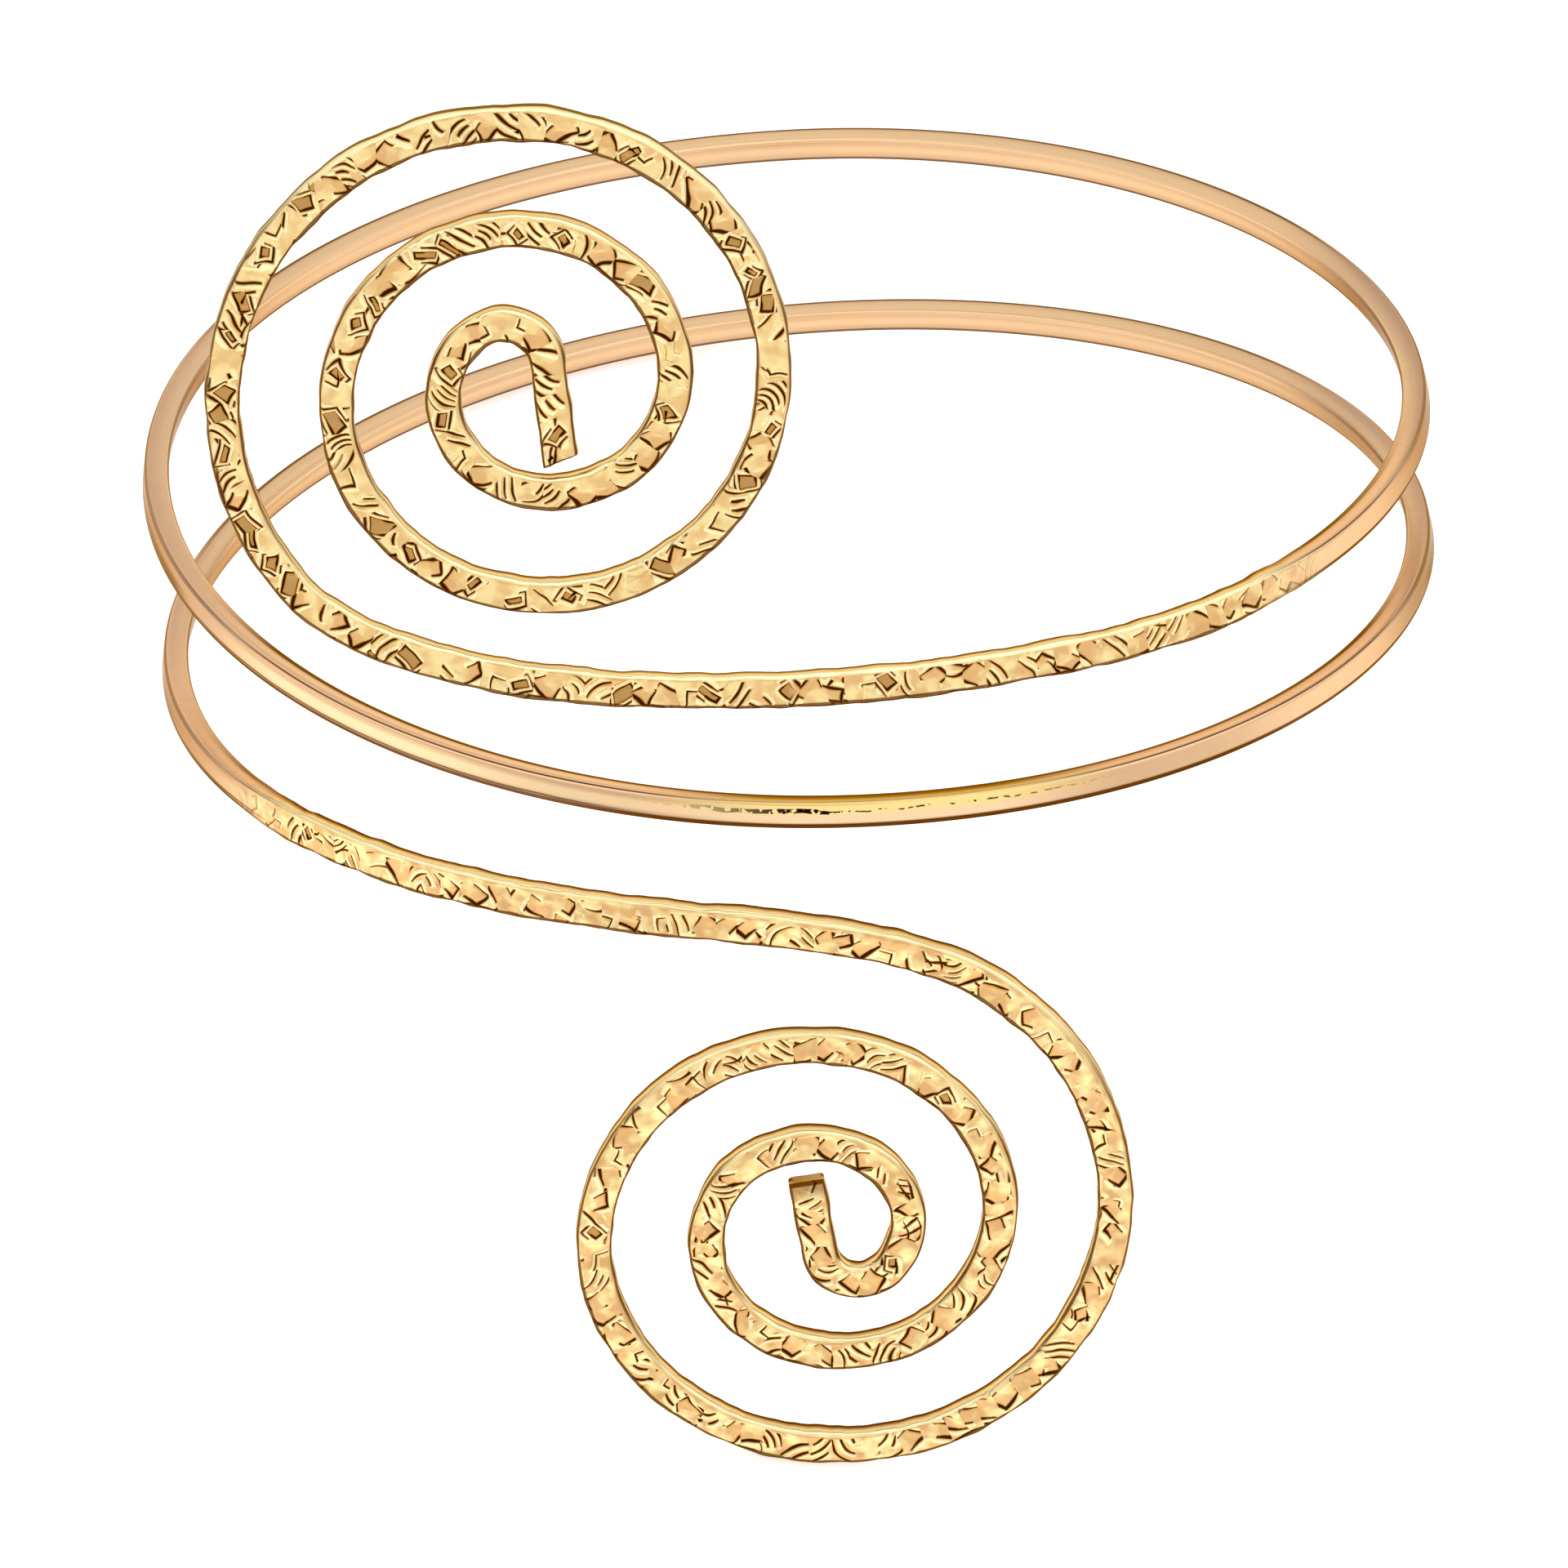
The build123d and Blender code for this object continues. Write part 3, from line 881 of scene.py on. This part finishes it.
# Painted shade on the hammered strip's edges and walls; the darker one also darkens the face
# towards the lower tip
WALL_AMBER = (0.66, 0.375, 0.13, 1)
WALL_SHADE = (0.26, 0.125, 0.03, 1)
BROWN = (0.05, 0.010, 0.0005, 1)
DARK = (0.015, 0.002, 0.0005, 1)
OUTLINE_BROWN = (0.10, 0.030, 0.002, 1)
OUTLINE_GREY = (0.15, 0.085, 0.042, 1)
EDGE_TINT = (0.60, 0.45, 0.30, 1)

# Where the finish and its painted light and shade change, in metres: to the back, to the right,
# or to either side
FRONT_ENDS = (-0.012, 0.008)
BACK_STARTS = (-0.008, 0.012)
PAINTED_LIGHT_LEFT_ENDS = (-0.012, 0.012)
SHADED_TAN_STARTS = (0.012, 0.022)
SHADED_RIGHT_STARTS = (0.025, 0.038)
SIDE_STARTS = (0.035, 0.0405)
FAR_SIDE_STARTS = (0.0405, 0.0418)
# Painted reflection line on the plain wire's front at the left
REFLECTION_LINE_ENDS = (-0.018, -0.012)
# The same round a place: its middle, and where it starts to end and has ended on either side
# Painted highlight and painted dark reflection line on the plain wire's front
PAINTED_HIGHLIGHT_SPAN = (0.002, 0.006, 0.017)
DARK_REFLECTION_SPAN = (-0.0062, 0.003, 0.006)
# Painted shade low on the plain wire's front
LOW_SHADE_SPAN = (0.006, 0.018, 0.026)

# Polish
ROUGHNESS = (0.16, 0.14)  # the least, and how much more it is in places
SUNK_ROUGHNESS = 0.12  # more of it in the marks
LINE_BUMP = 0.04  # mm
GRAIN_BUMP = 0.003


class Spot:
    """Where a place on the gold lies, each part a socket of the material."""

    def __init__(self, w):
        self.strip, section, stance, self.edge, outwards = (
            w.add("ShaderNodeAttribute", attribute_name=label).outputs["Vector"]
            for label in ("strip", "section", "stance", "edge", "outwards")
        )
        self.along, self.across, _ = w.parts(self.strip)
        self.arris, self.beaten, self.middle = w.parts(section)
        self.side, self.facing, self.depth = w.parts(stance)
        self.edge_right, _, self.edge_up = w.parts(self.edge)
        _, self.looks_back, self.looks_up = w.parts(outwards)
        self.place = w.add("ShaderNodeTexCoord").outputs["Object"]
        self.to_right, to_back, _ = w.parts(self.place)
        self.front = w.fall(to_back, *FRONT_ENDS)
        self.behind = w.rise(to_back, *BACK_STARTS)
        self.at_side = w.rise(w.size(self.to_right), *SIDE_STARTS)
        self.plain = w.rest(self.beaten)
        self.wall = w.rise(w.size(self.side), 0.55, 0.95)
        self.face_side = w.rise(self.facing, 0.1, 0.3)
        self.to_lower_tip = w.minus(float(wire.length[-1]), self.along)
        # A painted highlight round the front's middle, on the plain wire's face and one wall
        painted_highlight = w.times(w.near(self.to_right, *PAINTED_HIGHLIGHT_SPAN), self.front)
        self.painted_highlight = w.times(painted_highlight, w.rise(self.side, -0.3, 0.0))
        # A painted highlight on one wall of the upper disc's outer rim
        started, ended = RIM_HIGHLIGHT_STARTS, RIM_HIGHLIGHT_ENDS
        painted_rim_highlight = w.times(w.rise(self.along, *started), w.fall(self.along, *ended))
        self.painted_rim_highlight = w.times(painted_rim_highlight, w.fall(self.across, -0.4, -0.1))
        # A painted highlight along the hammered strip's upward-looking corners
        self.bevel = w.times(w.rise(self.looks_up, 0.55, 0.85), self.beaten, self.face_side)


def plain_wire(w, at):
    """Drawn wire: peach with soft lengthwise streaks, and painted light and shade by where a
    place lies on the cuff: a painted light at the front's left and along the middle, painted
    shade at the sides, darker at the right side and on the front's right, and a painted
    reflection band along the walls at the front."""
    streaks = w.vector(w.times(at.along, 0.05), w.times(at.across, 2.2), w.times(at.depth, 1.6))
    streaks = w.rise(w.noise(streaks, 1.0), 0.35, 0.65)
    # Painted shade at the sides and right, painted light at the front's left and along the
    # middle, painted reflection band on the front walls
    shaded_side_peach = w.colour(w.rise(at.to_right, *SHADED_RIGHT_STARTS), SHADED_SIDE_PEACH, SHADED_RIGHT_PEACH)
    painted_light = w.blend(at.front, 0.3, w.fall(at.to_right, *PAINTED_LIGHT_LEFT_ENDS))
    painted_light = w.times(painted_light, w.rest(at.at_side), w.rise(at.middle, 0.15, 0.7))
    return w.layers(
        PEACH,
        (w.times(streaks, 0.7), PEACH_SHADE),
        (w.times(at.front, w.rise(at.to_right, *SHADED_TAN_STARTS)), SHADED_FACE_TAN),
        (w.times(at.at_side, 0.85), shaded_side_peach),
        (painted_light, PAINTED_PEACH_LIGHT),
        (w.times(at.wall, at.front, 0.7), PAINTED_REFLECTION_PEACH),
    )


def with_painted_highlight(w, at, plain):
    """Plain wire with a painted highlight round the front's middle, a painted dark reflection on
    one wall there, and a broken painted dark reflection line along the face.
    """
    highlight_colours = w.layers(
        HIGHLIGHT_PEACH,
        (w.rise(at.across, -0.05, 0.2), HIGHLIGHT_YELLOW),
        (w.times(w.rise(at.side, 0.2, 0.85), w.fall(at.depth, -0.3, 2.4)), DARK_REFLECTION_GOLD),
    )
    thick_reflection = w.near(at.to_right, *DARK_REFLECTION_SPAN)
    off_line = w.size(w.minus(at.across, w.blend(w.noise(at.strip, 0.5), 0.03, 0.53)))
    painted_dark_reflection = w.fall(w.minus(off_line, w.times(thick_reflection, 0.11)), 0.02, 0.08)
    gaps = w.blend(thick_reflection, 0.48, 0.42), w.blend(thick_reflection, 0.53, 0.46)
    painted_dark_reflection = w.times(painted_dark_reflection, w.rise(w.noise(at.strip, 2.4), *gaps))
    painted_dark_reflection = w.times(painted_dark_reflection, at.painted_highlight, w.rise(at.facing, 0.8, 0.9))
    return w.layers(plain, (at.painted_highlight, highlight_colours), (painted_dark_reflection, DARK))


def with_painted_corner_light_and_shade(w, at, plain):
    """Plain wire with more painted light and shade: a painted reflection line and band low on its
    front at the left, painted shade low on the inner face at the back, painted light on the wall
    at the back and on the upper corners, and painted shade low on the front right of the middle.
    """
    front_left = w.times(w.fall(at.to_right, *REFLECTION_LINE_ENDS), at.front)
    painted_reflection_line = w.near(at.across, w.blend(w.noise(at.strip, 0.3), -0.42, -0.52), 0.04, 0.08)
    painted_reflection_line = w.times(painted_reflection_line, front_left, w.rise(at.facing, 0.8, 0.9))
    painted_reflection_band = w.times(w.fall(at.across, -0.62, -0.54), front_left)
    # Painted shade low on the inner face at the back
    inside = w.times(at.behind, w.fall(at.facing, -0.3, 0.0), w.fall(at.across, -0.65, 0.1))
    painted_back_wall_light = w.times(at.behind, at.wall, w.fall(at.depth, -1.0, 1.0), w.rise(at.side, 0.0, 0.1))
    painted_upper_corner_light = w.times(w.rise(at.arris, 0.0, 0.8), w.rise(at.looks_up, 0.1, 0.5))
    painted_upper_corner_light = w.times(painted_upper_corner_light, w.fall(at.looks_back, -0.4, -0.1), w.rest(at.painted_highlight))
    painted_low_shade = w.times(w.near(at.to_right, *LOW_SHADE_SPAN), at.front, at.face_side)
    return w.layers(
        plain,
        (w.times(painted_reflection_band, 0.7), PAINTED_REFLECTION_PEACH),
        (w.times(painted_reflection_line, 0.9), OUTLINE_GREY),
        (inside, PEACH_SHADE),
        (w.times(painted_back_wall_light, 0.4), PAINTED_PEACH_LIGHT),
        (w.times(painted_upper_corner_light, w.blend(at.behind, 0.8, 0.6)), HIGHLIGHT_PEACH),
        (w.times(painted_low_shade, w.fall(at.across, -0.62, -0.42)), LOW_SHADE_GOLD),
    )


def hammered_strip(w, at, marks):
    """The strip's face with the colours of its marks and painted shade near its edges, strongest
    where they look right, and the walls in painted shade that darkens towards their back, with a
    painted highlight on the upper disc's outer rim.
    """
    patches = w.rise(w.noise(at.strip, 0.9, 1.0), 0.35, 0.65)
    # Painted shade near the face's edges, strongest on edges that look right
    shaded_shoulder = w.times(w.fall(marks["from_edge"], 0.05, 0.4), marks["share"])
    face = w.layers(
        w.colour(marks["on_upper_disc"], TAN, LIGHT_GOLD),
        (patches, YELLOW_GOLD),
        (w.times(marks["floor"], 0.9), TAN),
        (w.times(marks["rim"], 0.9), PALE_GOLD),
        (marks["pit"], OLIVE),
        (w.times(marks["flank"], 0.85), AMBER),
        (w.times(shaded_shoulder, w.blend(w.rise(at.edge_right, 0.3, 0.9), 0.55, 0.85)), WALL_AMBER),
        (w.times(w.fall(at.to_lower_tip, 0.3, 1.3), 0.7), WALL_SHADE),
    )
    # Walls in painted shade, darkening towards the back, with the painted rim highlight
    shaded_wall_band = w.layers(
        WALL_SHADE,
        (w.rise(at.depth, -0.6, 0.5), WALL_AMBER),
        (w.times(w.rise(at.depth, 0.1, 0.9), 0.8), YELLOW_GOLD),
        (at.painted_rim_highlight, PALE_GOLD),
    )
    return w.colour(w.times(at.wall, 0.9), face, shaded_wall_band)


def painted_edge_shade(w, at):
    """Painted shade along the wire: dark lines at its edges and corners.

    On plain wire they lie on the walls towards the arm at the front and away from it at the back,
    beside the face at the sides, and at its corners. On a hammered strip they lie at the back of
    both walls, at the face's corners and at the wire's two ends."""
    at_front = w.times(at.front, w.fall(at.depth, -0.2, 0.2), w.fall(at.middle, 0.45, 0.75))
    at_back = w.times(at.behind, w.rise(at.depth, -0.2, 0.2), w.fall(at.middle, 0.08, 0.25))
    plain_wall = w.times(w.most(at_front, at_back), w.rest(at.at_side), at.plain)
    strip_wall = w.fall(w.minus(at.depth, w.times(at.painted_rim_highlight, 1.2)), -0.6, -0.1)
    on_wall = w.rise(w.size(at.side), 0.5, 0.8)
    wall_edge = w.times(on_wall, w.most(plain_wall, w.times(strip_wall, at.beaten)))

    by_face = w.times(w.rise(at.arris, 0.05, 0.2), w.rise(w.size(at.facing), 0.4, 0.6))
    far_side = w.rise(w.size(at.to_right), *FAR_SIDE_STARTS)
    far_side = w.times(far_side, w.rise(at.facing, 0.8, 0.95), w.fall(at.across, -0.2, 0.3))
    side_edge = w.times(at.at_side, w.most(by_face, far_side), at.plain, 0.7)

    plain_corner = w.times(w.rise(at.arris, 0.80, 0.92), at.front)
    plain_corner = w.times(plain_corner, w.rest(w.most(at.painted_highlight, at.at_side)))
    turned_down = w.fall(at.edge_up, -0.7, 0.0)
    strip_corner = w.rise(w.plus(w.size(at.side), w.times(turned_down, 0.45)), 0.42, 0.65)
    to_end = w.math("MINIMUM", at.along, at.to_lower_tip)
    strip_corner = w.most(strip_corner, w.fall(to_end, 0.08, 0.16))
    corner = w.times(w.blend(at.beaten, plain_corner, strip_corner), at.face_side)
    low = w.fall(at.across, -0.3, -0.1)
    # Painted shade under the plain wire's lower corner
    shaded_low_corner = w.most(w.rise(at.arris, 0.08, 0.35), w.times(w.fall(at.middle, 0.02, 0.14), low))
    shaded_low_corner = w.times(shaded_low_corner, low, at.plain)
    corner = w.times(w.most(corner, shaded_low_corner), w.rest(at.bevel))

    # A thin painted shade line where the strip's face meets its upward-looking wall
    lip = w.times(w.rise(at.facing, 0.05, 0.15), w.fall(at.facing, 0.45, 0.6))
    lip = w.times(lip, w.rise(at.looks_up, 0.4, 0.7), at.beaten, w.rest(at.painted_rim_highlight), 0.2)
    return w.most(corner, side_edge, wall_edge, lip)


def gold_material():
    material = bpy.data.materials.new("hammered_and_drawn_gold")
    w = wiring_of(material)
    at = Spot(w)
    marks = hammer_marks(w, at.strip, at.edge, MARKS_SEED)
    plain = with_painted_corner_light_and_shade(w, at, with_painted_highlight(w, at, plain_wire(w, at)))
    outline = w.colour(w.most(at.front, at.beaten), OUTLINE_GREY, OUTLINE_BROWN)
    colour = w.layers(
        plain,
        (at.beaten, hammered_strip(w, at, marks)),
        # Painted highlight on the strip's upward-looking corners
        (w.times(w.rise(at.arris, 0.3, 0.8), at.bevel), PALE_GOLD),
        # Painted shade along the wire's edges and corners
        (w.times(painted_edge_shade(w, at), 0.9), outline),
        (marks["line"], BROWN),
        (marks["wedge"], DARK),
    )
    least, more = ROUGHNESS
    roughness = w.plus(w.times(w.noise(at.place, 1200.0, 3.0), more), least)
    sunk = w.plus(marks["floor"], marks["pit"])
    height = w.times(w.minus(marks["rim"], marks["line"]), LINE_BUMP)
    height = w.plus(height, w.times(w.noise(at.place, 9000.0), GRAIN_BUMP))
    bump = w.add("ShaderNodeBump", {"Strength": 0.6, "Distance": MM, "Height": height})
    inputs = {
        "Base Color": colour,
        "Metallic": 1.0,
        "Roughness": w.plus(roughness, w.times(sunk, SUNK_ROUGHNESS)),
        "Specular Tint": EDGE_TINT,
        "Normal": bump.outputs[0],
    }
    shader = w.add("ShaderNodeBsdfPrincipled", inputs)
    w.put(w.add("ShaderNodeOutputMaterial").inputs[0], shader.outputs[0])
    return material


gold = gold_material()
relief = relief_tree()


def add_object(name, data):
    thing = bpy.data.objects.new(name, data)
    bpy.context.scene.collection.objects.link(thing)
    return thing


def wire_piece(name, first, last, stride):
    piece = add_object(name, stretch_mesh(name, first, last, stride))
    modifier = piece.modifiers.new("hammered", "NODES")
    modifier.node_group = relief
    for socket in relief.interface.items_tree:
        if socket.name in RELIEF_SIZES:
            modifier[socket.identifier] = RELIEF_SIZES[socket.name]
    bpy.context.view_layer.update()
    evaluated = piece.evaluated_get(bpy.context.evaluated_depsgraph_get())
    unmarked = piece.data
    piece.data = bpy.data.meshes.new_from_object(evaluated)
    piece.modifiers.clear()
    bpy.data.meshes.remove(unmarked)
    piece.data.name = name
    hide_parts("coil_wire")
    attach(piece, "root")


for name, (first, last, stride) in STRETCHES.items():
    wire_piece(name, first, last, stride)


# Stage, in metres
FLOOR_SIZE = 3.0
FLOOR_GAP = 0.0002  # under the cuff
FLOOR_WHITES = ((0.93, 0.93, 0.93, 1), (0.95, 0.95, 0.95, 1))
FLOOR_GLOW = 0.4  # of the light table that the cuff lies on


def floor_material():
    material = bpy.data.materials.new("studio_floor")
    w = wiring_of(material)
    place = w.add("ShaderNodeTexCoord").outputs["Object"]
    inputs = {
        "Base Color": w.colour(w.noise(place, 40.0, 3.0), *FLOOR_WHITES),
        "Roughness": 0.9,
        "Specular IOR Level": 0.1,
        "Emission Color": (1, 1, 1, 1),
        "Emission Strength": FLOOR_GLOW,
    }
    shader = w.add("ShaderNodeBsdfPrincipled", inputs)
    w.put(w.add("ShaderNodeOutputMaterial").inputs[0], shader.outputs[0])
    return material


def make_floor():
    half, height = FLOOR_SIZE / 2, cad_box[0].z - FLOOR_GAP
    mesh = bpy.data.meshes.new("floor")
    corners = [(x * half, y * half, height) for x, y in ((-1, -1), (1, -1), (1, 1), (-1, 1))]
    mesh.from_pydata(corners, [], [(0, 1, 2, 3)])
    mesh.materials.append(floor_material())
    floor = add_object("floor", mesh)


make_floor()


# Camera, in the bracelet's frame: in front of the cuff and above it, aimed a little low
CAMERA_DISTANCE = 627
CAMERA_RAISE = 29.6
CAMERA_AIM = (-1.7, 0.0, -21.4)
CAMERA_ROLL = -4.0
CAMERA_LENS = 211.4
CAMERA_CLIP = (0.01, 20)  # metres


def make_camera():
    """Sets the camera up, and gives the direction from the cuff to it."""
    raised, roll = math.radians(CAMERA_RAISE), math.radians(CAMERA_ROLL)
    towards = np.array([0.0, -math.cos(raised), math.sin(raised)])
    level = np.array([1.0, 0.0, 0.0])
    upright = np.cross(towards, level)
    across = level * math.cos(roll) + upright * math.sin(roll)
    upright = upright * math.cos(roll) - level * math.sin(roll)
    camera = add_object("camera", bpy.data.cameras.new("camera"))
    axes = [Vector(turned @ axis) for axis in (across, upright, towards)]
    matrix = Matrix(axes).transposed().to_4x4()
    matrix.translation = Vector(to_rest(np.array(CAMERA_AIM) + CAMERA_DISTANCE * towards))
    camera.matrix_world = matrix
    camera.data.lens = CAMERA_LENS
    camera.data.clip_start, camera.data.clip_end = CAMERA_CLIP
    bpy.context.scene.camera = camera
    return axes[2]


to_camera = make_camera()

# Light
SKY = (0.95, 0.95, 0.95, 1)
LOW_SKY = (0.80, 0.80, 0.80, 1)
SKY_STRENGTH = 1.15
FLAG = (0.70, 0.62, 0.52, 1)  # darker, round the camera
FLAG_ANGLES = (20, 10)  # off the camera, where it starts and is full


def make_world():
    world = bpy.data.worlds.new("studio")
    w = wiring_of(world)
    direction = w.add("ShaderNodeTexCoord").outputs["Generated"]
    directions = {0: direction, 1: tuple(to_camera)}
    nearness = w.add("ShaderNodeVectorMath", directions, operation="DOT_PRODUCT").outputs["Value"]
    starts, full = (math.cos(math.radians(angle)) for angle in FLAG_ANGLES)
    sky = w.colour(w.rise(w.parts(direction)[2], 0.0, 0.5), LOW_SKY, SKY)
    colour = w.colour(w.rise(nearness, starts, full), sky, FLAG)
    background = w.add("ShaderNodeBackground", {"Color": colour, "Strength": SKY_STRENGTH})
    w.put(w.add("ShaderNodeOutputWorld").inputs[0], background.outputs[0])
    bpy.context.scene.world = world


def area_light(name, place, aim, size, power):
    light = bpy.data.lights.new(name, "AREA")
    light.shape = "DISK"
    light.size = size
    light.energy = power
    lamp = add_object(name, light)
    lamp.location = place
    lamp.rotation_mode = "QUATERNION"
    lamp.rotation_quaternion = (Vector(aim) - Vector(place)).to_track_quat("-Z", "Y")


make_world()
area_light("overhead", place=(0.1, 0.25, 0.9), aim=(0, 0, 0.03), size=0.9, power=0.5)

bpy.context.scene.view_settings.view_transform = "Standard"
